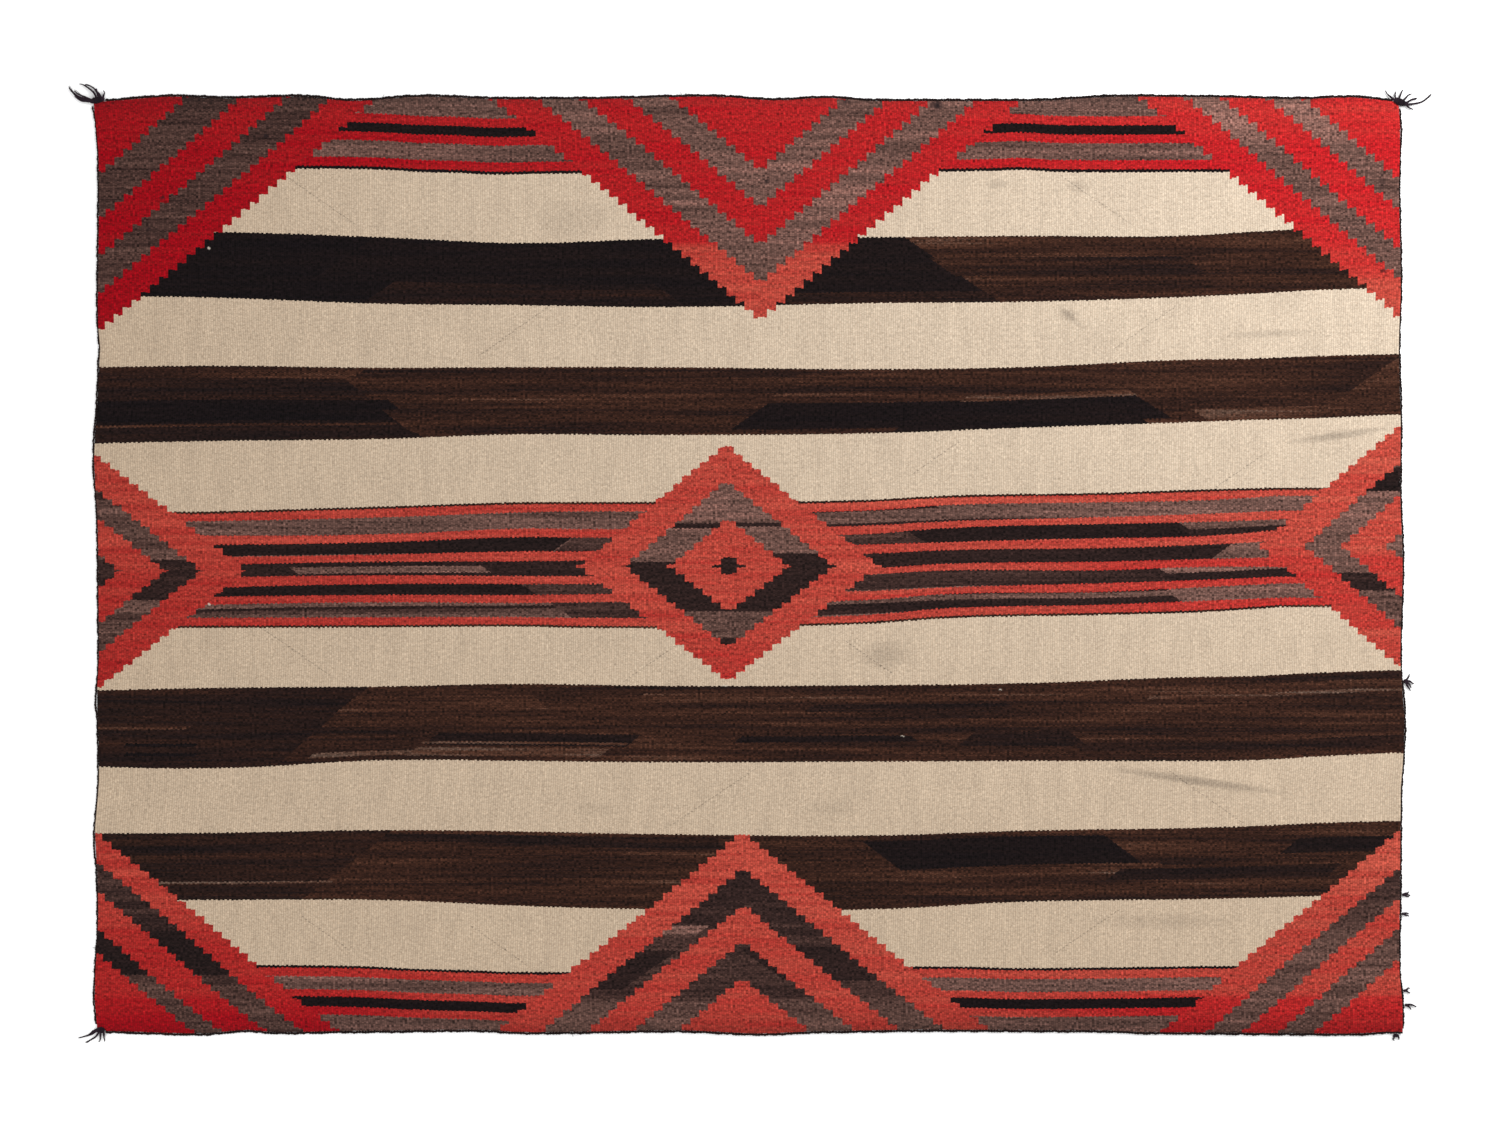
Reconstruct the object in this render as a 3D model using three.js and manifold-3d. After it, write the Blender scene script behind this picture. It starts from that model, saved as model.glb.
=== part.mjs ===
// A handwoven wool rug in a third-phase chief blanket layout, lying flat with its face up.
// Millimetres. +X runs along the rug's length, +Y up its warps and +Z up off the floor.
// The origin is on the floor, under the middle of the whole rug with its tassels.
import * as THREE from "three";
import { mergeVertices } from "three/addons/utils/BufferGeometryUtils.js";
import Module from "manifold-3d";

const wasm = await Module();
wasm.setup();

// Driving sizes
const HALF_LENGTH = 1000;
const HALF_WIDTH = 718;
const CLOTH_THICK = 3;
const END_CORD = 4.2;
const SIDE_CORD = 3.2;
const GAP = 0.3;
const YARN = 1.3;
const TIP_NARROWING = 0.6;
// Room that a leaning knot needs below it, before the side cord begins
const KNOT_LEAN = 4;

// How finely the edges are cut into straight runs
const LONG_EDGE_STEPS = 64;
const SHORT_EDGE_STEPS = 46;
const CORD_SIDES = 8;
const STRAND_STEPS = 5;
const WELD = 1e-4;
const KNOT_SIDES = 10;
const KNOT_RINGS = 6;
const KNOT_ROOM_SIDES = 20;

// Waves of the four edges. Each row is a crest or a hollow: "at" is its place along the edge,
// "out" how far the edge stands out there from the straight line of the nominal rectangle.
const TOP_WAVES = [
  { at: -1009, out: -5 },
  { at: -879, out: 3 },
  { at: -802, out: 0 },
  { at: -688, out: 3 },
  { at: -611, out: -4 },
  { at: -496, out: 3 },
  { at: -381, out: -1 },
  { at: -266, out: -1 },
  { at: -57, out: 3 },
  { at: 40, out: -3 },
  { at: 116, out: 1 },
  { at: 193, out: -4 },
  { at: 423, out: -4 },
  { at: 576, out: 3 },
  { at: 691, out: 2 },
  { at: 844, out: -1 },
  { at: 920, out: 2 },
  { at: 1000, out: -5 },
];
const BOTTOM_WAVES = [
  { at: -1001, out: -1 },
  { at: -841, out: 3 },
  { at: -764, out: -3 },
  { at: -726, out: 1 },
  { at: -611, out: -1 },
  { at: -420, out: -3 },
  { at: -343, out: 1 },
  { at: -113, out: -2 },
  { at: 20, out: 3 },
  { at: 116, out: -1 },
  { at: 270, out: -3 },
  { at: 538, out: -2 },
  { at: 614, out: 1 },
  { at: 920, out: 3 },
  { at: 1001, out: -1 },
];
const LEFT_WAVES = [
  { at: -717, out: 1 },
  { at: -666, out: 6 },
  { at: -544, out: 0 },
  { at: -482, out: 1 },
  { at: -421, out: 6 },
  { at: -329, out: -1 },
  { at: -237, out: 0 },
  { at: -207, out: 4 },
  { at: -160, out: -1 },
  { at: 8, out: 0 },
  { at: 69, out: 1 },
  { at: 161, out: 7 },
  { at: 283, out: 0 },
  { at: 345, out: -3 },
  { at: 375, out: 1 },
  { at: 590, out: -1 },
  { at: 651, out: 0 },
  { at: 712, out: 8 },
];
const RIGHT_WAVES = [
  { at: -715, out: 2 },
  { at: -674, out: 3 },
  { at: -620, out: -3 },
  { at: -482, out: -1 },
  { at: -329, out: 0 },
  { at: -299, out: 4 },
  { at: -237, out: 6 },
  { at: -145, out: -1 },
  { at: 8, out: 3 },
  { at: 115, out: -1 },
  { at: 222, out: 0 },
  { at: 337, out: -3 },
  { at: 436, out: 0 },
  { at: 590, out: -3 },
  { at: 681, out: 0 },
  { at: 711, out: -4 },
];

// Soft creases where the cloth stands off the floor. "long" and "wide" are the whole swell,
// "turn" is its direction in degrees from +X, "rise" how high its ridge stands.
const CREASES = [
  { x: 902, y: 207, long: 170, wide: 44, turn: 8, rise: 4.5 },
  { x: 690, y: -322, long: 300, wide: 46, turn: -8, rise: 4.5 },
  { x: 937, y: 525, long: 100, wide: 36, turn: -5, rise: 3 },
  { x: 498, y: 385, long: 70, wide: 34, turn: -40, rise: 2.5 },
  { x: 800, y: 362, long: 150, wide: 40, turn: 3, rise: 2.5 },
];
const CREASE_SKIRT = 1;
const CREASE_RINGS = 4;
const CREASE_SIDES = 18;

// Knots where the end and side cords are tied off. "long", "wide" and "high" are the knot's
// body and "turn" its direction in degrees.
const KNOTS = {
  tassel_top_left: { x: -999, y: 712, long: 25, wide: 11, high: 7, turn: 12 },
  tassel_top_right: { x: 996, y: 709, long: 22, wide: 12, high: 7, turn: -22 },
  tassel_bottom_left: { x: -994, y: -712, long: 15, wide: 10, high: 6, turn: 0 },
  tassel_bottom_right: { x: 990, y: -720.5, long: 9, wide: 6, high: 5, turn: 0 },
};

// Loose yarns of each tassel. "from" is the root's place along the knot, "turn" the direction
// in which the yarn leaves, "long" its length and "bend" how far it curves, in degrees.
const TASSEL_STRANDS = {
  tassel_top_left: [
    { from: -9, turn: 176, long: 24, bend: -34 },
    { from: -8, turn: 163, long: 36, bend: -42 },
    { from: -6, turn: 152, long: 30, bend: -22 },
    { from: -4, turn: 141, long: 26, bend: 14 },
    { from: -1, turn: 125, long: 24, bend: 40 },
    { from: 3, turn: 108, long: 27, bend: 62 },
    { from: 6, turn: 78, long: 13, bend: 60 },
    { from: 9, turn: 52, long: 8, bend: 44 },
  ],
  tassel_top_right: [
    { from: -8, turn: 104, long: 12, bend: -40 },
    { from: -2, turn: 92, long: 14, bend: -44 },
    { from: 3, turn: 70, long: 16, bend: -46 },
    { from: 6, turn: 40, long: 15, bend: -22 },
    { from: 8, turn: 2, long: 37, bend: 38 },
    { from: 8, turn: -24, long: 9, bend: 10 },
  ],
  tassel_bottom_left: [
    { from: -6, turn: 196, long: 13, bend: 44 },
    { from: -4, turn: 218, long: 28, bend: -36 },
    { from: -1, turn: 246, long: 26, bend: -56 },
    { from: 1, turn: 266, long: 14, bend: -14 },
    { from: 4, turn: 280, long: 13, bend: -8 },
  ],
  tassel_bottom_right: [
    { from: -3, turn: 262, long: 5, bend: 8 },
    { from: 3, turn: 292, long: 4, bend: -8 },
  ],
};

// Broken yarn ends along the right edge. "y" is the place along the edge, "head" the size of
// the matted root, and the strands have the tassels' columns.
const FRAYED_ENDS = [
  {
    y: -178,
    head: 7,
    strands: [
      { from: 0, turn: 48, long: 9, bend: 30 },
      { from: 0, turn: 8, long: 11, bend: -60 },
      { from: 0, turn: -34, long: 10, bend: -28 },
      { from: 0, turn: -72, long: 13, bend: 20 },
    ],
  },
  {
    y: -505,
    head: 5,
    strands: [
      { from: 0, turn: 32, long: 7, bend: -14 },
      { from: 0, turn: 4, long: 8, bend: -12 },
      { from: 0, turn: -24, long: 7, bend: 0 },
    ],
  },
  {
    y: -534,
    head: 4,
    strands: [
      { from: 0, turn: 10, long: 7, bend: -10 },
      { from: 0, turn: -22, long: 8, bend: -8 },
    ],
  },
  {
    y: -652,
    head: 4,
    strands: [
      { from: 0, turn: -12, long: 8, bend: -30 },
      { from: 0, turn: 26, long: 7, bend: 12 },
    ],
  },
  {
    y: -674,
    head: 5,
    strands: [
      { from: 0, turn: 14, long: 14, bend: -52 },
      { from: 0, turn: -30, long: 8, bend: -20 },
    ],
  },
];

// Colours and finish of the yarns
const CREAM_WOOL = new THREE.MeshStandardMaterial({ color: 0xcdb69c, roughness: 0.95, metalness: 0 });
const CORD_WOOL = new THREE.MeshStandardMaterial({ color: 0x2a1c1c, roughness: 0.95, metalness: 0 });
const TASSEL_WOOL = new THREE.MeshStandardMaterial({ color: 0x2b1d26, roughness: 0.95, metalness: 0 });

const radians = THREE.MathUtils.degToRad;

// Height of the wavy line that runs smoothly from each crest to the next hollow
function waveOut(rows, at) {
  const last = rows.length - 1;
  if (at <= rows[0].at) {
    return rows[0].out;
  }
  if (at >= rows[last].at) {
    return rows[last].out;
  }
  const next = rows.findIndex((row) => row.at > at);
  const [before, after] = [rows[next - 1], rows[next]];
  const share = THREE.MathUtils.smoothstep(at, before.at, after.at);
  return THREE.MathUtils.lerp(before.out, after.out, share);
}

// Outer lines of the whole rug, cords included
const topEdge = (x) => HALF_WIDTH + waveOut(TOP_WAVES, x);
const bottomEdge = (x) => -HALF_WIDTH - waveOut(BOTTOM_WAVES, x);
const leftEdge = (y) => -HALF_LENGTH - waveOut(LEFT_WAVES, y);
const rightEdge = (y) => HALF_LENGTH + waveOut(RIGHT_WAVES, y);

function evenSteps(from, to, steps) {
  return Array.from({ length: steps + 1 }, (_, i) => from + ((to - from) * i) / steps);
}

// A closed three.js geometry as a solid that can be joined and cut
function solidFrom(geometry) {
  const bare = geometry.clone();
  bare.deleteAttribute("normal");
  bare.deleteAttribute("uv");
  const merged = mergeVertices(bare, WELD);
  const triVerts = new Uint32Array(merged.index.array);
  const vertProperties = new Float32Array(merged.attributes.position.array);
  return new wasm.Manifold(new wasm.Mesh({ numProp: 3, vertProperties, triVerts }));
}

function geometryFrom(solid) {
  const mesh = solid.getMesh();
  const geometry = new THREE.BufferGeometry();
  geometry.setAttribute("position", new THREE.BufferAttribute(mesh.vertProperties, 3));
  geometry.setIndex(new THREE.BufferAttribute(mesh.triVerts, 1));
  geometry.computeVertexNormals();
  return geometry;
}

// Where the cords stop short of the knots, and so where each edge's stations begin and end
const besideKnot = (knot) => knot.long / 2 + GAP;
const underKnot = (knot) => knot.wide / 2 + KNOT_LEAN;
const TOP_SPAN = {
  from: KNOTS.tassel_top_left.x + besideKnot(KNOTS.tassel_top_left),
  to: KNOTS.tassel_top_right.x - besideKnot(KNOTS.tassel_top_right),
};
const BOTTOM_SPAN = {
  from: KNOTS.tassel_bottom_left.x + besideKnot(KNOTS.tassel_bottom_left),
  to: HALF_LENGTH,
};
const LEFT_SPAN = {
  from: KNOTS.tassel_bottom_left.y + underKnot(KNOTS.tassel_bottom_left),
  to: KNOTS.tassel_top_left.y - underKnot(KNOTS.tassel_top_left),
};
const RIGHT_SPAN = {
  from: -HALF_WIDTH + 2 * END_CORD,
  to: KNOTS.tassel_top_right.y - underKnot(KNOTS.tassel_top_right),
};
const stationsOf = (span, steps) => evenSteps(span.from, span.to, steps);

// Outline of the cloth inside its cords, anticlockwise from the bottom left corner
function clothOutline() {
  const acrossIn = SIDE_CORD + GAP;
  const alongIn = END_CORD + GAP;
  const corner = (x, y) => new THREE.Vector2(
    x < 0 ? leftEdge(y) + acrossIn : rightEdge(y) - acrossIn,
    y < 0 ? bottomEdge(x) + alongIn : topEdge(x) - alongIn,
  );
  const alongBottom = (x) => new THREE.Vector2(x, bottomEdge(x) + alongIn);
  const alongTop = (x) => new THREE.Vector2(x, topEdge(x) - alongIn);
  const upRight = (y) => new THREE.Vector2(rightEdge(y) - acrossIn, y);
  const upLeft = (y) => new THREE.Vector2(leftEdge(y) + acrossIn, y);
  return [
    corner(-HALF_LENGTH, -HALF_WIDTH),
    ...stationsOf(BOTTOM_SPAN, LONG_EDGE_STEPS).slice(0, -1).map(alongBottom),
    corner(HALF_LENGTH, -HALF_WIDTH),
    ...stationsOf(RIGHT_SPAN, SHORT_EDGE_STEPS).map(upRight),
    corner(HALF_LENGTH, HALF_WIDTH),
    ...stationsOf(TOP_SPAN, LONG_EDGE_STEPS).reverse().map(alongTop),
    corner(-HALF_LENGTH, HALF_WIDTH),
    ...stationsOf(LEFT_SPAN, SHORT_EDGE_STEPS).reverse().map(upLeft),
  ];
}

// A low swell with a round soft ridge, standing on the height "lift"
function creaseSwell(crease, lift) {
  const slope = evenSteps(1, 0, CREASE_RINGS).map(
    (r) => new THREE.Vector2(r, lift + crease.rise * Math.cos((r * Math.PI) / 2) ** 2),
  );
  slope[slope.length - 1].x = 0;
  const foot = lift - CREASE_SKIRT;
  const profile = [new THREE.Vector2(0, foot), new THREE.Vector2(1, foot), ...slope];
  const swell = new THREE.LatheGeometry(profile, CREASE_SIDES);
  swell.rotateX(Math.PI / 2);
  swell.scale(crease.long / 2, crease.wide / 2, 1);
  swell.rotateZ(radians(crease.turn));
  swell.translate(crease.x, crease.y, 0);
  return solidFrom(swell);
}

// The hole that a knot needs in the cloth's corner
function knotRoom(knot) {
  const room = new THREE.CylinderGeometry(0.5, 0.5, knot.high * 4, KNOT_ROOM_SIDES);
  room.rotateX(Math.PI / 2);
  room.scale(knot.long + 2 * GAP, knot.wide + 2 * GAP, 1);
  room.rotateZ(radians(knot.turn));
  room.translate(knot.x, knot.y, 0);
  return solidFrom(room);
}

// The woven cloth: one flat sheet of even thickness that lifts at its creases
function cloth() {
  const sheet = new THREE.ExtrudeGeometry(new THREE.Shape(clothOutline()), {
    depth: CLOTH_THICK,
    bevelEnabled: false,
  });
  let solid = solidFrom(sheet);
  for (const crease of CREASES) {
    solid = solid.add(creaseSwell(crease, CLOTH_THICK)).subtract(creaseSwell(crease, 0));
  }
  for (const knot of Object.values(KNOTS)) {
    solid = solid.subtract(knotRoom(knot));
  }
  return new THREE.Mesh(geometryFrom(solid), CREAM_WOOL);
}

// The middle line of an edge cord, with its points at even stations of the edge
class CordLine extends THREE.Curve {
  constructor(span, pointAt) {
    super();
    this.span = span;
    this.pointAt = pointAt;
  }

  getPoint(share) {
    return this.pointAt(THREE.MathUtils.lerp(this.span.from, this.span.to, share));
  }

  getPointAt(share) {
    return this.getPoint(share);
  }

  getTangentAt(share) {
    return this.getTangent(share);
  }
}

// A cord of even section that follows one edge, lying on one of its flats
function edgeCord(line, size, steps) {
  const halfSide = Math.PI / CORD_SIDES;
  const corner = size / 2 / Math.cos(halfSide);
  const turns = evenSteps(halfSide, halfSide + 2 * Math.PI, CORD_SIDES).slice(0, -1);
  const section = new THREE.Shape(
    turns.map((turn) => new THREE.Vector2(corner * Math.sin(turn), corner * Math.cos(turn))),
  );
  const cord = new THREE.ExtrudeGeometry(section, { steps, extrudePath: line, bevelEnabled: false });
  return new THREE.Mesh(cord, CORD_WOOL);
}

function endCord(span, edge, inwards) {
  const middle = (inwards * END_CORD) / 2;
  const line = new CordLine(span, (x) => new THREE.Vector3(x, edge(x) + middle, END_CORD / 2));
  return edgeCord(line, END_CORD, LONG_EDGE_STEPS);
}

function sideCord(span, edge, inwards) {
  const middle = (inwards * SIDE_CORD) / 2;
  const line = new CordLine(span, (y) => new THREE.Vector3(edge(y) + middle, y, SIDE_CORD / 2));
  return edgeCord(line, SIDE_CORD, SHORT_EDGE_STEPS);
}

// One loose yarn lying level on the floor: a curved strip that narrows to its tip
function strand(turn, bend, long) {
  const [left, right] = [[], []];
  const point = new THREE.Vector2();
  for (let i = 0; i <= STRAND_STEPS; i += 1) {
    const share = i / STRAND_STEPS;
    const heading = radians(turn + bend * share);
    const ahead = new THREE.Vector2(Math.cos(heading), Math.sin(heading));
    const half = (YARN / 2) * (1 - TIP_NARROWING * share);
    const across = new THREE.Vector2(-ahead.y, ahead.x).multiplyScalar(half);
    left.push(point.clone().add(across));
    right.unshift(point.clone().sub(across));
    point.addScaledVector(ahead, long / STRAND_STEPS);
  }
  const outline = new THREE.Shape([...right, ...left]);
  return solidFrom(new THREE.ExtrudeGeometry(outline, { depth: YARN, bevelEnabled: false }));
}

function knotBody(long, wide, high) {
  const body = new THREE.SphereGeometry(0.5, KNOT_SIDES, KNOT_RINGS);
  body.rotateX(Math.PI / 2);
  body.scale(long, wide, high);
  body.translate(0, 0, high / 2);
  return solidFrom(body);
}

// A knot or matted root with its loose yarns fused into it. Each yarn's length counts from
// the knot's rim, so the part inside the knot is added to it.
function tassel(size, strands) {
  const spread = radians(size.turn);
  const inside = size.wide / 2;
  let solid = knotBody(size.long, size.wide, size.high).rotate([0, 0, size.turn]);
  for (const row of strands) {
    const root = [row.from * Math.cos(spread), row.from * Math.sin(spread), 0];
    solid = solid.add(strand(row.turn, row.bend, row.long + inside).translate(root));
  }
  return new THREE.Mesh(geometryFrom(solid), TASSEL_WOOL);
}

function cornerTassel(name) {
  const knot = KNOTS[name];
  const mesh = tassel(knot, TASSEL_STRANDS[name]);
  mesh.position.set(knot.x, knot.y, 0);
  return mesh;
}

function frayedEnd(row) {
  const size = { long: row.head, wide: row.head, high: SIDE_CORD, turn: 0 };
  const mesh = tassel(size, row.strands);
  mesh.position.set(rightEdge(row.y) + GAP + row.head / 2, row.y, 0);
  return mesh;
}

const pieces = {
  rug_cloth: cloth(),
  end_cord_top: endCord(TOP_SPAN, topEdge, -1),
  end_cord_bottom: endCord(BOTTOM_SPAN, bottomEdge, 1),
  side_cord_left: sideCord(LEFT_SPAN, leftEdge, 1),
  side_cord_right: sideCord(RIGHT_SPAN, rightEdge, -1),
};
for (const name of Object.keys(KNOTS)) {
  pieces[name] = cornerTassel(name);
}
FRAYED_ENDS.forEach((row, index) => {
  pieces[`frayed_end_right_${index + 1}`] = frayedEnd(row);
});

const laid = new THREE.Group();
for (const [name, mesh] of Object.entries(pieces)) {
  mesh.name = name;
  laid.add(mesh);
}

// The box of the whole rug is centred over the origin
const box = new THREE.Box3().setFromObject(laid);
const middle = box.getCenter(new THREE.Vector3());
laid.position.set(-middle.x, -middle.y, -box.min.z);

const rug = new THREE.Group();
rug.add(laid);
export default rug;
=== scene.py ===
"""Looks of the handwoven wool rug: cloth, edge cords, tassels and frayed ends, in metres in the part's
frame.

The cloth's pattern is worked out in millimetres from the rug's middle: x along its length, y up its warps.
Blocks of the pattern step by whole ribs, as weaving does, and the stripes follow the lines in the tables.
"""

import math
import random
from collections import namedtuple

import bpy
import numpy as np
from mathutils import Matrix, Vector


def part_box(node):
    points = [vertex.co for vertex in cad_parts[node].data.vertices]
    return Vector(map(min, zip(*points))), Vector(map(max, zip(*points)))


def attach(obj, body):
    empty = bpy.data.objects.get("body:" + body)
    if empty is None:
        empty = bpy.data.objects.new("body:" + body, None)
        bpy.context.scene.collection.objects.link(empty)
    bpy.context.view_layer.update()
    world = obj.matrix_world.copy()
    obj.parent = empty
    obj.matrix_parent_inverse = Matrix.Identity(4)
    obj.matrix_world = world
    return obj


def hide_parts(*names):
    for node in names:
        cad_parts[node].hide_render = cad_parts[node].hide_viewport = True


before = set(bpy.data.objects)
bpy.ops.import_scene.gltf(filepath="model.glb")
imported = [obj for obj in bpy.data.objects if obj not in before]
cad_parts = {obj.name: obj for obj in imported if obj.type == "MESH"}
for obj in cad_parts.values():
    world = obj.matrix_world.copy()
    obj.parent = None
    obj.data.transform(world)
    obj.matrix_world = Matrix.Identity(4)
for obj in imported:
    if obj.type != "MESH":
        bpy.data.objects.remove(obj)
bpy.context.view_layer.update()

MM = 0.001

# Sizes of the cloth, in millimetres, and its flat size in metres
LENGTH = 2000.0
RIBS = 576
RIB = LENGTH / RIBS
CLOTH_THICK = 3.0
RIB_DEPTH = 0.5
HALF_WIDTH = 718.0
EDGE_BAND = 14.0
CORNER_CLEAR = 13.0
EDGE_TUCK = 0.8

# Mesh of the cloth
TOP_COLUMNS = 2 * RIBS
UNDER_STEP = 8
CREASE_ROW = 7.5
PLAIN_ROW = 44.0

# Soft creases, as in the part's source, and how dark the painted shade along their lower side is for each
# millimetre of rise
CREASE_SHADE = 0.07
Crease = namedtuple("Crease", "x y long wide turn rise")
CREASES = [
    Crease(902, 207, 170, 44, 8, 4.5),
    Crease(690, -322, 300, 46, -8, 4.5),
    Crease(937, 525, 100, 36, -5, 3),
    Crease(498, 385, 70, 34, -40, 2.5),
    Crease(800, 362, 150, 40, 3, 2.5),
]

# The camera looks straight down. The frame and the rug in it are in pixels, the floor's half size and
# height in millimetres, and the camera's height in metres.
PHOTO_WIDE, PHOTO_HIGH = 1500, 1125
RUG_WIDE_PX = 1306
RUG_MIDDLE_PX = (749, 565)
CAMERA_HEIGHT = 6.0
FLOOR_REACH = 9000
FLOOR_HEIGHT = -0.4
SENSOR = 36.0

# Nine stepped diamonds. "row" is the height of one step and "rows" how many lead from the middle
# line to the tip. Rings start and end at these steps inwards from the outer edge.
Motif = namedtuple("Motif", "x y row rows ring1 ring2 ring3 ring4")
MOTIFS = [
    Motif(-1000, 719.8, 11.49, 31.2, 5, 10, 15, 21),
    Motif(17.6, 736.0, 11.49, 31.0, 5, 10, 15, 20),
    Motif(1000, 719.8, 11.79, 28.6, 5, 9, 14, 18),
    Motif(-1000, -9, 11.0, 16.2, 5, 9, 14, 99),
    Motif(-33, -2, 11.3, 16.3, 5, 10, 15, 99),
    Motif(1001, 29.1, 11.79, 15.6, 5, 9, 14, 99),
    Motif(-1000, -718.2, 11.46, 26.8, 4, 8, 13, 16),
    Motif(-7.7, -747.4, 11.18, 30.0, 5, 10, 15, 20),
    Motif(1000, -718.2, 11.64, 26.7, 5, 9, 13, 17),
]
COLUMN_EDGE = 500.0
ROW_EDGE = 270.0

# The centre diamond is flatter below its middle than above, by this much
CENTRE_SQUAT = 0.06
TIP_HALF = 11.5

# How far the edge of each step sinks towards its outer end
TREAD = 2.2
STEP = 4 * RIB

# Edges of the four broad dark bands, by their height at places along the rug
Bands = namedtuple("Bands", "at top1 low1 top2 low2 top3 low3 top4 low4")
BAND_LINES = [
    Bands(-1000, 512, 412, 303, 186, -192, -309, -411, -513),
    Bands(-810, 510, 409, 305, 190, -188, -311, -410, -513),
    Bands(-565, 502, 400, 302, 193, -186, -299, -406, -513),
    Bands(-350, 493, 398, 303, 200, -182, -300, -408, -522),
    Bands(-150, 499, 395, 303, 199, -185, -302, -412, -527),
    Bands(200, 502, 401, 300, 202, -184, -301, -414, -527),
    Bands(415, 504, 403, 303, 210, -181, -300, -407, -516),
    Bands(660, 504, 410, 314, 218, -172, -300, -403, -512),
    Bands(767, 510, 415, 316, 222, -170, -299, -400, -510),
    Bands(874, 516, 421, 320, 225, -165, -293, -395, -507),
    Bands(982, 522, 424, 323, 230, -161, -288, -392, -506),
]

# Upper edges of the stripes through the middle, from the top stripe down
Stripes = namedtuple(
    "Stripes", "at red1 grey1 red2 black1 red3 core red4 black2 red5 grey2 red6 end"
)
MIDDLE_LINES = [
    Stripes(-841, 78, 67, 45, 31, 12, 0, -19, -35, -49, -61, -81, -93),
    Stripes(-565, 86, 73, 47, 35, 16, 5, -16, -29, -46, -57, -80, -92),
    Stripes(-335, 93, 81, 56, 43, 21, 6, -17, -29, -46, -58, -80, -91),
    Stripes(-259, 93, 82, 55, 42, 21, 7, -17, -29, -45, -57, -81, -93),
    Stripes(170, 96, 83, 60, 47, 31, 17, -6, -15, -40, -54, -77, -87),
    Stripes(308, 103, 92, 67, 57, 35, 23, 2, -8, -34, -44, -66, -78),
    Stripes(538, 107, 96, 73, 63, 41, 26, 5, -8, -28, -41, -61, -73),
    Stripes(690, 112, 99, 78, 66, 44, 31, 9, -3, -23, -34, -55, -69),
    Stripes(813, 115, 106, 83, 70, 54, 37, 12, -3, -18, -28, -50, -61),
]

# How far the end zones' stripes dip at places along the rug, and the stripes' upper edges there
Dip = namedtuple("Dip", "at dip")
TOP_DIP = [
    Dip(-626, -5), Dip(-565, -3.5), Dip(-504, 0), Dip(-443, 1.5),
    Dip(-381, 4), Dip(-335, 3), Dip(369, -1.5), Dip(415, -3),
    Dip(476, 0), Dip(660, 0),
]
TOP_STRIPES = {
    "grey1": 800, "red1": 687.6, "black1": 673.8, "red2": 659.3, "grey2": 646.3,
    "red3": 620.2, "line": 606.4, "end": 601.8,
}
BOTTOM_DIP = [
    Dip(-688, -4.6), Dip(-596, -3), Dip(-534, 0), Dip(-473, 2.3),
    Dip(-412, 3.8), Dip(-351, 6), Dip(308, -2.3), Dip(415, 0),
    Dip(538, -0.8), Dip(691, -3),
]
BOTTOM_STRIPES = {
    "line": -617.2, "red1": -621, "grey1": -634, "red2": -653.9,
    "black2": -664.6, "red3": -680, "grey3": -692.2, "end": -800,
}
THIN_LINE = 3.4
TOOTH = 0.9

# The kind of yarn of each stripe, by its name
MIDDLE_KINDS = {"red": "red", "grey": "grey", "black": "grey", "core": "grey"}
END_KINDS = {"red": "red", "grey": "grey", "black": "bar", "line": "bar"}

# Heights between which the lines of the bands, the middle stripes and the dips are laid out
BAND_SPAN = (-600, 600)
MIDDLE_SPAN = (-150, 150)
DIP_SPAN = (-20, 20)

# How much light the rug receives: colours in the tables are as they look under it
LIGHT = 1.4


def seen(red, green, blue):
    """A colour as it looks on the lit rug, from 0 to 255, as the linear numbers that shaders use."""
    linear = [((c / 255 + 0.055) / 1.055) ** 2.4 if c > 10 else c / 255 / 12.92 for c in (red, green, blue)]
    return (*[c / LIGHT for c in linear], 1.0)


# The yarns' colours
CREAM_LEFT = seen(203, 182, 157)
CREAM_RIGHT = seen(208, 187, 162)
CREAM_BRIGHT = seen(228, 211, 189)
DUST = seen(138, 122, 106)
SCARLET_LEFT, SCARLET_RIGHT = seen(152, 0, 17), seen(190, 27, 33)
CORAL_LEFT, CORAL_RIGHT = seen(172, 64, 52), seen(189, 82, 66)
# Painted shade for the grooves between the ribs
GROOVE_SHADE = seen(34, 24, 22)
# Darkest colour for stains, also used for the painted shade along the creases and in the lazy lines' gaps
SOOT_AND_SHADE = seen(26, 20, 24)
PALE = seen(205, 195, 180)
FLECK = (0.72, 0.66, 0.62, 1.0)

# Undyed yarns from near black to the palest, in even steps of tone from 0 to 1
BROWN_YARNS = [
    seen(15, 10, 13), seen(29, 18, 17), seen(44, 25, 19),
    seen(60, 35, 25), seen(80, 50, 37), seen(100, 80, 69),
]
GREY_YARNS = [
    seen(27, 18, 18), seen(47, 31, 29), seen(73, 51, 46),
    seen(94, 69, 62), seen(115, 84, 76), seen(146, 104, 94),
]

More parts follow.
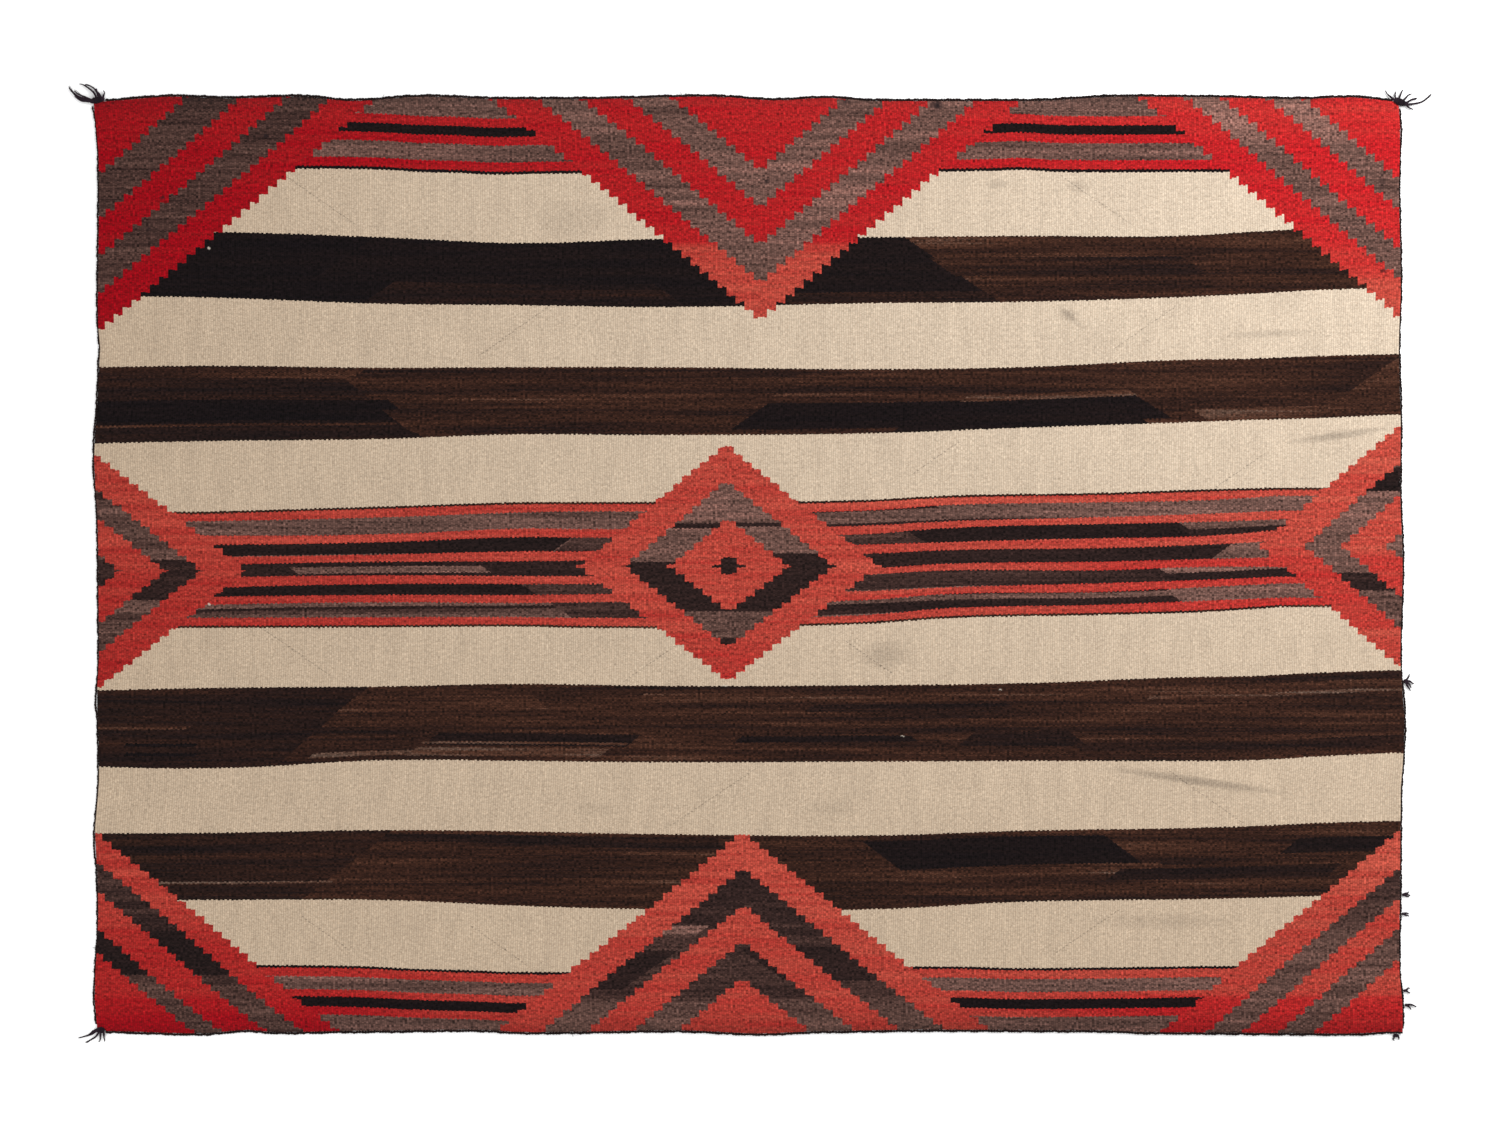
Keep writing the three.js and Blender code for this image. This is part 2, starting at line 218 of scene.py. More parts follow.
# How far the reds turn from scarlet (0) to the palest coral (1.25), and the tone of the greys, by height
# in the left, middle and right motifs and the stripes beside them
Dye = namedtuple(
    "Dye", "at coral_left coral_middle coral_right grey_left grey_middle grey_right"
)
DYE_HEIGHTS = [
    Dye(-712, 0, 0.8, 0.1, 0.46, 0.64, 0.62),
    Dye(-680, 0.1, 0.8, 0.15, 0.46, 0.55, 0.62),
    Dye(-664, 0.3, 0.85, 0.2, 0.46, 0.4, 0.63),
    Dye(-652, 0.35, 0.85, 0.8, 0.46, 0.3, 0.62),
    Dye(-618, 0.4, 0.9, 0.85, 0.3, 0.33, 0.6),
    Dye(-590, 0.4, 0.9, 0.85, 0.05, 0.33, 0.63),
    Dye(-555, 0.7, 1, 0.9, 0.18, 0.28, 0.5),
    Dye(-500, 0.95, 1.1, 1.05, 0.28, 0.2, 0.36),
    Dye(-410, 0.8, 1.2, 1.2, 0.3, 0.15, 0.33),
    Dye(-176, 0.45, 0.6, 0.9, 0.56, 0.56, 0.7),
    Dye(-100, 0.6, 0.95, 0.8, 0.55, 0.56, 0.66),
    Dye(-45, 0.7, 1, 0.5, 0.55, 0.6, 0.6),
    Dye(5, 0.95, 1, 0.55, 0.58, 0.7, 0.66),
    Dye(30, 1, 1, 0.95, 0.58, 0.72, 0.7),
    Dye(150, 0.9, 1, 1, 0.55, 0.8, 0.78),
    Dye(405, 0, 1, 1, 0.4, 0.66, 0.6),
    Dye(440, 0, 1, 0.6, 0.42, 0.66, 0.64),
    Dye(484, 0, 1, 0.3, 0.42, 0.7, 0.74),
    Dye(496, 0, 0.15, 0.15, 0.42, 0.74, 0.74),
    Dye(625, 0.05, 0.1, 0.05, 0.42, 0.74, 0.68),
    Dye(642, 0.05, 0.1, 0.05, 0.4, 0.7, 0.74),
    Dye(656, 0.1, 0.12, 0.15, 0.4, 0.7, 0.9),
    Dye(685, 0.1, 0.15, 0.2, 0.4, 0.7, 0.95),
    Dye(712, 0.1, 0.15, 0.25, 0.38, 0.68, 0.82),
]
DYE_SPAN = 1424.0
PALEST_CORAL = 1.25
COLUMN_FADE = 160.0

# Lazy lines in the plain cloth: rows of tiny gaps where sections of the weave meet. A line starts at its
# lowest point, and "lean" is 1 where it leans right going up and -1 where it leans left.
Lazy = namedtuple("Lazy", "x y rise lean")
GAP_REACH = 1.5
GAP_PITCH = 3.6
# How dark the painted shade in the gaps is
GAP_SHADE = 0.42
LAZY_LINES = [
    Lazy(-606, 522, 76, -1), Lazy(255, 141, 48, 1), Lazy(-190, -176, 56, 1),
    Lazy(222, -168, 54, -1), Lazy(-612, -590, 52, -1), Lazy(-340, -612, 60, -1),
    Lazy(-640, -172, 80, -1), Lazy(560, 330, 66, 1), Lazy(-420, 318, 76, 1),
    Lazy(470, -596, 70, 1), Lazy(-120, -400, 90, 1), Lazy(760, -396, 84, -1),
    Lazy(690, 100, 72, 1), Lazy(590, 520, 78, -1),
]

# Soft stains, knots and loose specks, by the middle and half sizes; "shade" darkens, or lightens below 0
Mark = namedtuple("Mark", "x y wide high shade")
MARKS = [
    (208, -138, 42, 26, 0.2), (-275, 530, 60, 34, 0.12), (130, -372, 50, 15, 0.11),
    (-232, -374, 40, 14, 0.09), (640, -546, 130, 14, 0.13), (384, 583, 22, 9, 0.2),
    (510, 580, 24, 11, 0.16), (492, 384, 20, 10, 0.16), (292, 704, 11, 9, 0.9),
    (152, 709, 7, 5, 0.7), (28, 588, 5, 4, 0.8), (-741, 657, 5, 4, 0.8),
    (-902, 562, 6, 4, 0.8), (-923, 515, 5, 3, 0.7), (610, 643, 6, 4, 0.7),
    (864, 697, 6, 4, 0.7), (974, 590, 5, 24, 0.35), (974, 450, 6, 4, 0.8),
    (-830, 485, 3, 2.4, -0.8), (-830, -60, 3, 2.4, -0.8), (-38, -185, 7, 1.5, -0.5),
    (384, -191, 3, 1.6, -0.7), (232, -262, 4, 1.6, -0.6),
]

# Layers of other yarn, each from a start to an end and between a low and a high height. Its two ends
# follow the weaver's lazy lines: "R" leans right going up, "L" leans left and "I" is upright.
# On a band, heights are 0 at its lower edge to 100 at its upper one. In the middle stripes they are
# from the upper edge of the core stripe, and in the diamonds' rings from the rug's middle.
LEAN = 1.45
SHELVES = {"band1": 1000, "band2": 2000, "band3": 3000, "band4": 4000, "middle": 6000, "rings": 8000}
Layer = namedtuple("Layer", "start end low high ends tone")
LAYERS = {
    "band1": [
        (-1010, -505, -9, 130, "IR", 0.04), (-576, -115, -9, 34, "RL", 0.22),
        (-600, -20, 34, 130, "RI", 0.08), (-115, -10, -9, 34, "LI", 0.08),
        (-10, 296, -9, 130, "IL", 0.1), (60, 380, -9, 17, "LL", 0.34),
        (240, 1010, 68, 130, "LI", 0.56), (296, 680, 40, 68, "LL", 0.38),
    ],
    "band2": [
        (-1010, -600, 55, 84, "IL", 0.32), (-1010, -510, -9, 27, "IL", 0.2),
        (-1010, -535, 27, 55, "IL", 0.03), (-1010, -540, 20, 23, "IL", 0.6),
        (-600, 70, 86, 97, "RL", 0.34), (-540, 40, 8, 42, "LR", 0.46),
        (2, 620, 8, 48, "RL", 0.07), (235, 600, -9, 30, "RL", 0.1),
        (40, 190, 58, 62, "RR", 0.8), (330, 590, 46, 56, "RL", 0.7),
        (700, 1010, -9, 20, "LI", 0.68), (950, 1010, -9, 130, "RI", 0.66),
    ],
    "band3": [
        (-1010, -640, -9, 130, "IR", 0.3), (-1010, -860, 49, 52, "IR", 0.8),
        (-960, -850, 27, 31, "RR", 0.05), (-960, -850, 15, 19, "RR", 0.05),
        (-620, -320, 66, 86, "RL", 0.62), (-675, -500, 7, 13, "RI", 0.86),
        (-520, -225, 6, 17, "RR", 0.84), (-490, -180, 20, 36, "RR", 0.16),
        (-505, -190, 22, 25, "RR", 0.8), (-170, 1010, 78, 90, "RI", 0.6),
        (-20, 250, 26, 34, "RL", 0.12), (330, 500, 20, 38, "RL", 0.24),
        (90, 400, 66, 75, "RL", 0.32), (610, 1010, 75, 79, "RI", 0.86),
        (500, 1010, 12, 22, "LI", 0.3),
    ],
    "band4": [
        (-1010, -600, -9, 130, "IR", 0.32), (-915, -640, 24, 27, "RR", 0.9),
        (-560, -45, 84, 95, "RI", 0.22), (-190, -50, 72, 76, "RI", 0.7),
        (205, 575, 52, 92, "LL", 0.07), (235, 640, 38, 52, "LL", 0.66),
        (560, 900, 28, 44, "RR", 0.22), (830, 980, 60, 80, "RR", 0.12),
    ],
    "middle": [
        (-200, -100, 31, 41, "RI", 0.08), (-1010, -285, 12, 42, "IR", 0.04),
        (-285, -60, 12, 38, "RI", 0.34), (-1010, -100, -24, 4, "II", 0.12),
        (-700, -405, -17, -7, "LL", 0.74), (-1010, -340, -56, -30, "IL", 0.03),
        (-340, -60, -56, -30, "LI", 0.26), (-1010, -290, -72, -68, "IL", 0.1),
        (-1010, -290, -80, -72, "IL", 0.4), (-290, -60, -90, -62, "LI", 0.26),
        (60, 290, 65, 69, "IL", 0.12), (60, 620, 43, 47, "IL", 0.12),
        (60, 250, 12, 40, "IL", 0.34), (250, 672, 12, 40, "LL", 0.04),
        (672, 1010, 12, 24, "LI", 0.12), (60, 725, -24, 4, "IR", 0.13),
        (60, 640, -56, -30, "IL", 0.26), (640, 1010, -56, -42, "LI", 0.12),
        (200, 640, -68, -64, "RL", 0.1), (60, 660, -92, -76, "IL", 0.16),
    ],
    "rings": [
        (-1010, -740, -628, -560, "IL", 0.04), (-320, 330, -455, -425, "II", 0.08),
        (-180, -70, -566, -552, "RR", 0.8), (-400, -150, -650, -590, "RR", 0.12),
        (20, 330, -636, -585, "LL", 0.14), (-120, -45, 56, 64, "II", 0.1),
        (-25, 50, 59, 65, "II", 0.12), (-280, -30, -71, 5, "II", 0.12),
        (-62, 0, -24, 22, "II", 0.12), (-30, 250, -71, 18, "II", 0.14),
        (-60, 20, -128, -112, "II", 0.15), (930, 1010, 113, 150, "II", 0.05),
        (760, 1010, -39, -12, "II", 0.15), (-1010, -700, -54, 8, "II", 0.2),
        (-1010, -920, 100, 110, "II", 0.15),
    ],
}


# Cloudy noise over the yarns: its size along and across, in millimetres for the cloth
Cloud = namedtuple("Cloud", "along across seed detail rough")
RAGGED = Cloud(3.0, 2.4, 3.0, 0.0, 0.5)
WOBBLE = Cloud(17.0, 30.0, 61.0, 0.0, 0.5)
STREAKS = Cloud(260.0, 2.0, 11.0, 2.0, 0.7)
BROAD_STREAKS = Cloud(420.0, 13.0, 23.0, 1.0, 0.5)
FLECKS = Cloud(3.4, 1.5, 31.0, 1.0, 0.7)
SMUDGES = Cloud(20.0, 75.0, 71.0, 1.0, 0.5)
GRAIN = Cloud(4.0, 4.2, 91.0, 2.0, 0.6)
FUZZ = Cloud(1.2, 0.5, 5.0, 1.0, 0.5)
FIBRES = Cloud(6.0, 0.15, 0.0, 2.0, 0.5)
FIBRE_TONES = Cloud(40.0, 3.0, 0.0, 1.0, 0.5)

# Tones of the undyed bands and how much darker the bars are, and how far a tone shifts the streaks
BAND_TONE = 0.48
BAR_DARKER = 0.42
LANE_SHIFT = 240.0

# How strongly dust, the painted shade in the grooves and grain show
DUST_SHARE = 0.24
GROOVE_SHADE_SHARE = 0.3
RED_GRAIN, UNDYED_GRAIN, CREAM_GRAIN = 1.9, 3.2, 0.9
LOWEST_GAIN = 0.3

# Height of one pick of the weave
PICK = 0.85


# Numbers that vary over the cloth, as shader nodes

class Field:
    """A number that varies over a surface: the output of one shader node."""

    def __init__(self, socket):
        self.socket = socket

    def __add__(self, other):
        return maths("ADD", self, other)

    def __sub__(self, other):
        return maths("SUBTRACT", self, other)

    def __rsub__(self, other):
        return maths("SUBTRACT", other, self)

    def __mul__(self, other):
        return maths("MULTIPLY", self, other)

    def __gt__(self, other):
        return maths("GREATER_THAN", self, other)

    def __lt__(self, other):
        return maths("LESS_THAN", self, other)

    def __abs__(self):
        return maths("ABSOLUTE", self)

    def __floor__(self):
        return maths("FLOOR", self)

    def scaled(self, by, plus=0.0):
        return maths("MULTIPLY_ADD", self, by, plus)

    def within(self, reach, middle):
        """1 where this lies no further than reach from the middle, and 0 elsewhere."""
        return maths("COMPARE", self, middle, reach)

    def at_least(self, low):
        return maths("MAXIMUM", self, low)

    def cut(self):
        """Kept between 0 and 1."""
        clipped = maths("ADD", self, 0.0)
        clipped.socket.node.use_clamp = True
        return clipped


def maths(operation, *values):
    tree = next(v.socket.id_data for v in values if isinstance(v, Field))
    node = tree.nodes.new("ShaderNodeMath")
    node.operation = operation
    for socket, value in zip(node.inputs, values):
        if isinstance(value, Field):
            tree.links.new(value.socket, socket)
        else:
            socket.default_value = value
    return Field(node.outputs[0])


def fade(value, low, high):
    """0 up to low, 1 from high on, smooth in between."""
    tree = value.socket.id_data
    node = tree.nodes.new("ShaderNodeMapRange")
    node.interpolation_type = "SMOOTHSTEP"
    tree.links.new(value.socket, node.inputs["Value"])
    node.inputs["From Min"].default_value = low
    node.inputs["From Max"].default_value = high
    return Field(node.outputs["Result"])


def line_through(share, points):
    """A smooth line through points whose places and values lie between 0 and 1."""
    tree = share.socket.id_data
    node = tree.nodes.new("ShaderNodeFloatCurve")
    tree.links.new(share.socket, node.inputs["Value"])
    curve = node.mapping.curves[0]
    for place, value in points[1:-1]:
        curve.points.new(place, value)
    curve.points[0].location = points[0]
    curve.points[len(points) - 1].location = points[-1]
    node.mapping.extend = "HORIZONTAL"
    node.mapping.update()
    return Field(node.outputs["Value"])


def noise(x, y, cloud):
    """Cloudy noise from 0 to 1."""
    tree = x.socket.id_data
    place = tree.nodes.new("ShaderNodeCombineXYZ")
    tree.links.new((x * (1 / cloud.along)).socket, place.inputs[0])
    tree.links.new((y * (1 / cloud.across)).socket, place.inputs[1])
    place.inputs[2].default_value = cloud.seed
    node = tree.nodes.new("ShaderNodeTexNoise")
    tree.links.new(place.outputs[0], node.inputs["Vector"])
    node.inputs["Scale"].default_value = 1.0
    node.inputs["Detail"].default_value = cloud.detail
    node.inputs["Roughness"].default_value = cloud.rough
    return Field(node.outputs["Fac"])


def mixed(share, first, second, blend="MIX"):
    """The second colour over the first, by share. A colour is a tuple or a socket."""
    parts = (getattr(share, "socket", None), first, second)
    tree = next(part.id_data for part in parts if hasattr(part, "id_data"))
    node = tree.nodes.new("ShaderNodeMix")
    node.data_type = "RGBA"
    node.blend_type = blend
    factor, a, b = node.inputs[0], node.inputs[6], node.inputs[7]
    if isinstance(share, Field):
        tree.links.new(share.socket, factor)
    else:
        factor.default_value = share
    for socket, colour in ((a, first), (b, second)):
        if isinstance(colour, tuple):
            socket.default_value = colour
        else:
            tree.links.new(colour, socket)
    return node.outputs[2]


def colour_ramp(share, colours, steps, interpolation="LINEAR"):
    """A ramp node with these colours at even steps."""
    tree = share.socket.id_data
    node = tree.nodes.new("ShaderNodeValToRGB")
    node.color_ramp.interpolation = interpolation
    tree.links.new(share.socket, node.inputs["Fac"])
    stops = node.color_ramp.elements
    for i, colour in enumerate(colours):
        stop = stops[i] if i < 2 else stops.new(i / steps)
        stop.position = i / steps
        stop.color = colour
    return node


def stored(tree, name):
    """The three numbers stored at the points of a mesh under this name."""
    place = tree.nodes.new("ShaderNodeAttribute")
    place.attribute_name = name
    split = tree.nodes.new("ShaderNodeSeparateXYZ")
    tree.links.new(place.outputs["Vector"], split.inputs[0])
    return [Field(output) for output in split.outputs]


# The woven pattern

def wavy_lines(share, y, rows, low, high):
    """For each column of a table, the share of the way up from low to high at which its line runs."""
    span = high - low
    lines = {}
    for name in rows[0]._fields[1:]:
        points = [((row.at + LENGTH / 2) / LENGTH, (getattr(row, name) - low) / span) for row in rows]
        lines[name] = line_through(share, points)
    return lines, y.scaled(1 / span, -low / span)


def motif_choice(x, y):
    """The nine motifs' sizes, picked by the part of the rug that a point lies in."""
    tree = x.socket.id_data
    column = (x > -COLUMN_EDGE) + (x > COLUMN_EDGE)
    row = (y < ROW_EDGE) + (y < -ROW_EDGE)
    cell = (row.scaled(3.0) + column).scaled(1 / len(MOTIFS), 0.5 / len(MOTIFS))
    picked = []
    for names in (Motif._fields[:4], Motif._fields[4:]):
        colours = [[motif_code(name, getattr(motif, name)) for name in names] for motif in MOTIFS]
        ramp = colour_ramp(cell, colours, len(MOTIFS), "CONSTANT")
        split = tree.nodes.new("ShaderNodeSeparateColor")
        tree.links.new(ramp.outputs["Color"], split.inputs[0])
        outputs = [*split.outputs[:3], ramp.outputs["Alpha"]]
        for name, output in zip(names, outputs):
            picked.append(Field(output).scaled(*MOTIF_CODES.get(name, RING_CODE)))
    return picked


# How each size is fitted between 0 and 1 to be picked: multiplied by the first number, plus the second
MOTIF_CODES = {"x": (2200.0, -1100.0), "y": (1600.0, -800.0), "row": (20.0, 0.0), "rows": (40.0, 0.0)}
RING_CODE = (100.0, 0.0)


def motif_code(name, value):
    scale, plus = MOTIF_CODES.get(name, RING_CODE)
    return (value - plus) / scale


def layer_mask(layer, base, x, shelf, rise, fall):
    """1 inside a layer of yarn on the shelf whose heights start at base."""
    middle = base + (layer.low + layer.high) / 2
    inside = shelf.within((layer.high - layer.low) / 2, middle)
    shift = LEAN * middle
    lines = {"I": (x, 0), "R": (fall, -shift), "L": (rise, shift)}
    if layer.start > -LENGTH / 2:
        line, plus = lines[layer.ends[0]]
        inside = inside * (line > layer.start + plus)
    if layer.end < LENGTH / 2:
        line, plus = lines[layer.ends[1]]
        inside = inside * (line < layer.end + plus)
    return inside


def dye_amounts(x, y):
    """How coral the reds are here, and the tone of the greys."""
    height = y.scaled(1 / DYE_SPAN, 0.5)
    right = fade(x, COLUMN_EDGE - COLUMN_FADE, COLUMN_EDGE + COLUMN_FADE)
    middle = fade(x, -COLUMN_EDGE - COLUMN_FADE, -COLUMN_EDGE + COLUMN_FADE)
    amounts = []
    for kind in ("coral", "grey"):
        line = {}
        for side in ("left", "middle", "right"):
            name = f"{kind}_{side}"
            points = [(row.at / DYE_SPAN + 0.5, getattr(row, name) / PALEST_CORAL) for row in DYE_HEIGHTS]
            line[side] = line_through(height, points)
        amount = line["left"] + middle * (line["middle"] - line["left"])
        amount = amount + right * (line["right"] - amount)
        amounts.append(amount * PALEST_CORAL)
    return amounts


def lazy_gap_shade(x, y):
    """Painted shade in rows of tiny gaps along the lazy lines."""
    lines = {1: x - y * LEAN, -1: x + y * LEAN}
    gaps = 0.0
    for row in LAZY_LINES:
        close = lines[row.lean].within(GAP_REACH, row.x - row.lean * LEAN * row.y)
        gaps = close.scaled(y.within(row.rise / 2, row.y + row.rise / 2), gaps)
    dots = maths("FRACT", y.scaled(1 / GAP_PITCH)) < 0.5
    return gaps * dots * GAP_SHADE


def crease_shade(x, y):
    """Painted shade along the lower side of the creases."""
    painted_shade = 0.0
    for crease in CREASES:
        turn = math.radians(crease.turn)
        dx, dy = x - crease.x, y - crease.y
        along = (dx * math.cos(turn) + dy * math.sin(turn)) * (2 / crease.long)
        across = (dy * math.cos(turn) - dx * math.sin(turn)).scaled(6 / crease.wide, 1.2)
        painted_shade = (1.0 - (along * along + across * across)).at_least(0.0) * crease.rise + painted_shade
    return painted_shade * CREASE_SHADE


def marks(x, y):
    """Sums of the marks that darken and that lighten the cloth."""
    dark = pale = 0.0
    for mark in map(Mark._make, MARKS):
        across = x.scaled(1 / mark.wide, -mark.x / mark.wide)
        up = y.scaled(1 / mark.high, -mark.y / mark.high)
        near = (1.0 - across.scaled(across, up * up)).at_least(0.0)
        if mark.shade > 0:
            dark = near.scaled(mark.shade, dark)
        else:
            pale = near.scaled(-mark.shade, pale)
    return dark, pale


def yarn_tones(tone, colours):
    """The colour of an undyed yarn by its tone."""
    return colour_ramp(tone, colours, len(colours) - 1).outputs["Color"]


def striped(at, edges, kinds):
    """Masks of stripes by their kind. Each runs from its edge down to the next, and the last ends them."""
    below = [at < edge for edge in edges.values()]
    masks = {}
    for name, upper, lower in zip(edges, below, below[1:]):
        kind = kinds[name.rstrip("123456")]
        masks[kind] = upper - lower + masks.get(kind, 0.0)
    return masks


def dark_bands(share, y):
    """Where the four broad bands lie, and their shelves."""
    lines, at = wavy_lines(share, y, BAND_LINES, *BAND_SPAN)
    natural = shelf = 0.0
    for band in "1234":
        top, low = lines["top" + band], lines["low" + band]
        inside = (at < top) - (at < low)
        up = maths("DIVIDE", at - low, top - low).scaled(100.0, SHELVES["band" + band])
        natural = inside + natural
        shelf = up.scaled(inside, shelf)
    return natural, shelf


def middle_stripes(share, y):
    """Masks of the stripes through the middle and of the thin lines beside them, and their shelf."""
    lines, at = wavy_lines(share, y, MIDDLE_LINES, *MIDDLE_SPAN)
    high = MIDDLE_SPAN[1] - MIDDLE_SPAN[0]
    above = at.scaled(1.0, -THIN_LINE / high) < lines["red1"]
    below = at.scaled(1.0, THIN_LINE / high) < lines["end"]
    masks = striped(at, lines, MIDDLE_KINDS)
    masks["line"] = above - below - masks["red"] - masks["grey"]
    zone = above - (at < lines["end"])
    return masks, zone * (at - lines["core"]).scaled(high, SHELVES["middle"])


def end_stripes(share, y):
    """Masks of the stripes at both ends of the warps."""
    masks = []
    for dips, edges in ((TOP_DIP, TOP_STRIPES), (BOTTOM_DIP, BOTTOM_STRIPES)):
        lines, _ = wavy_lines(share, y, dips, *DIP_SPAN)
        sunk = y + lines["dip"].scaled(DIP_SPAN[1] - DIP_SPAN[0], DIP_SPAN[0])
        masks.append(striped(sunk, edges, END_KINDS))
    return {kind: masks[0][kind] + masks[1][kind] for kind in masks[0]}


def stepped_diamonds(x, y, true_y, step_x):
    """Masks of the diamonds and of their dark rings, and the lanes that keep their yarns apart."""
    cx, cy, row, rows, *rings = motif_choice(x, true_y)
    steps_out = abs(step_x - cx).scaled(1 / STEP, 1 - TIP_HALF / STEP)
    out = math.floor(steps_out).at_least(0.0)
    tread = (steps_out - out) * (true_y > ROW_EDGE).scaled(-2 * TREAD, TREAD)
    wobble = noise(step_x, y, WOBBLE).scaled(5.0, -2.5)
    squat = (y < cy) * (abs(x) < COLUMN_EDGE) * (abs(y) < ROW_EDGE) * CENTRE_SQUAT + 1.0
    up = math.floor(rows - maths("DIVIDE", abs(y - cy) * squat + wobble + tread, row))
    depth = up - out + 0.5
    inside = depth > 0.0
    past = [depth > ring for ring in rings]
    lane = inside * ((x > cx).scaled(61.0, 37.0) + past[1] * 29.0)
    return inside, past[0] - past[1] + past[2] - past[3], lane


def yarn_masks(x, y, true_y, step_x, share):
    """Masks of the kinds of yarn with the diamonds over the stripes, and the yarn's shelf and lane."""
    natural, shelf = dark_bands(share, y)
    middle, middle_shelf = middle_stripes(share, y)
    ends = end_stripes(share, y)
    inside, ring, lane = stepped_diamonds(x, y, true_y, step_x)
    outside = 1.0 - inside
    red = (middle["red"] + ends["red"]) * outside + (inside - ring)
    stripes = (middle["grey"] + ends["grey"]) * outside
    bars = ends["bar"] * outside
    natural = (natural + middle["line"]) * outside + bars
    shelf = (shelf + middle_shelf) * outside + ring * y.scaled(1.0, SHELVES["rings"])
    return red, natural, bars, stripes, ring, shelf, lane


def undyed_tone(x, shelf, tone):
    """The tone of the undyed yarns with the layers of other yarn laid over it."""
    rise, fall = x + shelf * LEAN, x - shelf * LEAN
    for name, rows in LAYERS.items():
        for layer in map(Layer._make, rows):
            inside = layer_mask(layer, SHELVES[name], x, shelf, rise, fall)
            tone = inside.scaled(tone.scaled(-1.0, layer.tone), tone)
    return tone


def build_pattern(tree):
    """The colour of the yarn at each point of the cloth."""
    x, true_y, _ = stored(tree, "weave_place")
    share = x.scaled(1 / LENGTH, 0.5)
    rib = math.floor(x.scaled(1 / RIB, RIBS / 2 + 1e-4))
    parity = maths("FLOORED_MODULO", rib, 2.0)
    step_x = rib.scaled(RIB, (0.5 - RIBS / 2) * RIB)
    ragged = noise(step_x, true_y, RAGGED)
    y = true_y + parity.scaled(TOOTH) + ragged.scaled(2.4, -1.2 - TOOTH / 2)

    red, natural, bars, stripes, ring, shelf, lane = yarn_masks(x, y, true_y, step_x, share)
    grey = stripes + ring

    # tones of the undyed yarns
    coral, grey_tone = dye_amounts(x, true_y)
    stripe_tone = share.scaled(0.12, 0.62)
    tone = undyed_tone(x, shelf, stripes * stripe_tone + ring * grey_tone + natural * BAND_TONE)
    tone = tone - bars * BAR_DARKER
    lane = y + lane + tone * LANE_SHIFT
    streak = noise(x, lane, STREAKS)
    broad = noise(x, lane, BROAD_STREAKS)
    fleck = noise(x, y, FLECKS)
    lively = fade(tone, 0.0, 0.5).scaled(0.9, 0.25) * grey.scaled(-0.2, 1.0)
    tone = tone + (streak + broad * 0.8 + fleck * 0.3).scaled(1.0, -1.05) * lively
    undyed = mixed(grey.cut(), yarn_tones(tone, BROWN_YARNS), yarn_tones(tone, GREY_YARNS))

    # cream and reds
    upward = fade(true_y, -700.0, 700.0)
    cream = mixed(share * upward, mixed(share, CREAM_LEFT, CREAM_RIGHT), CREAM_BRIGHT)
    smudge = noise(x, y, SMUDGES)
    cream = mixed((streak + smudge).scaled(1.5, -1.1).cut() * DUST_SHARE, cream, DUST)
    coral = coral + (streak + broad).scaled(1.1, -1.1) * (coral + 0.25)
    scarlet = mixed(share, SCARLET_LEFT, SCARLET_RIGHT)
    red_colour = mixed((coral * (1 / PALEST_CORAL)).cut(), scarlet, mixed(share, CORAL_LEFT, CORAL_RIGHT))
    colour = mixed((natural + grey).cut(), cream, undyed)
    colour = mixed(red.cut(), colour, red_colour)

    # painted shade in the grooves between the ribs, flecks, grain, painted light on the reds, marks, and
    # painted shade along the creases and in the lazy lines' gaps
    in_rib = abs(x.scaled(1 / RIB, RIBS / 2) - rib - 0.5)
    colour = mixed(fade(in_rib, 0.28, 0.5) * GROOVE_SHADE_SHARE, colour, GROOVE_SHADE)
    colour = mixed(fleck.scaled(2.4, -0.9).cut(), colour, FLECK, "MULTIPLY")
    grain = noise(step_x, y, GRAIN)
    amount = red * RED_GRAIN + (natural + grey) * UNDYED_GRAIN + CREAM_GRAIN
    grain_and_painted_light = (grain - 0.5) * amount + 1.0
    # Painted light on the reds: lighter low on the left and darker low on the right. The palest coral is
    # made lighter as well.
    grain_and_painted_light = grain_and_painted_light + red * ((1.0 - upward) * share.scaled(-0.22, 0.09) + (coral - 1.0).at_least(0.0) * 0.5)
    colour = mixed(1.0, colour, grain_and_painted_light.at_least(LOWEST_GAIN).socket, "MULTIPLY")
    dark, pale = marks(x, y)
    plain = 1.0 - (natural + grey + red).cut()
    # Painted shade along the creases and in the lazy lines' gaps, joined with the stains
    dark = dark + crease_shade(x, true_y) + lazy_gap_shade(x, y) * plain
    colour = mixed(dark.cut(), colour, SOOT_AND_SHADE)
    colour = mixed(pale.cut(), colour, PALE)
    return colour, x, true_y, parity


BUMP_STRENGTH = 0.5


def wool_shader(name):
    """A bare matt wool shader, and its tree."""
    material = bpy.data.materials.new(name)
    material.use_nodes = True
    tree = material.node_tree
    shader = tree.nodes["Principled BSDF"]
    shader.inputs["Roughness"].default_value = 0.92
    shader.inputs["Specular IOR Level"].default_value = 0.06
    shader.inputs["Sheen Weight"].default_value = 0.04
    shader.inputs["Sheen Roughness"].default_value = 0.5
    return material, tree, shader


def bump(tree, shader, height, distance):
    node = tree.nodes.new("ShaderNodeBump")
    node.inputs["Strength"].default_value = BUMP_STRENGTH
    node.inputs["Distance"].default_value = distance
    tree.links.new(height.socket, node.inputs["Height"])
    tree.links.new(node.outputs["Normal"], shader.inputs["Normal"])


def woven_material():
    material, tree, shader = wool_shader("woven_wool")
    colour, x, y, parity = build_pattern(tree)
    tree.links.new(colour, shader.inputs["Base Color"])
    pick = y.scaled(1 / PICK) + parity * 0.5
    beat = abs(maths("FRACT", pick) - 0.5)
    fuzz = noise(x, y, FUZZ)
    bump(tree, shader, fuzz.scaled(0.6) - beat, 0.25 * MM)
    return material


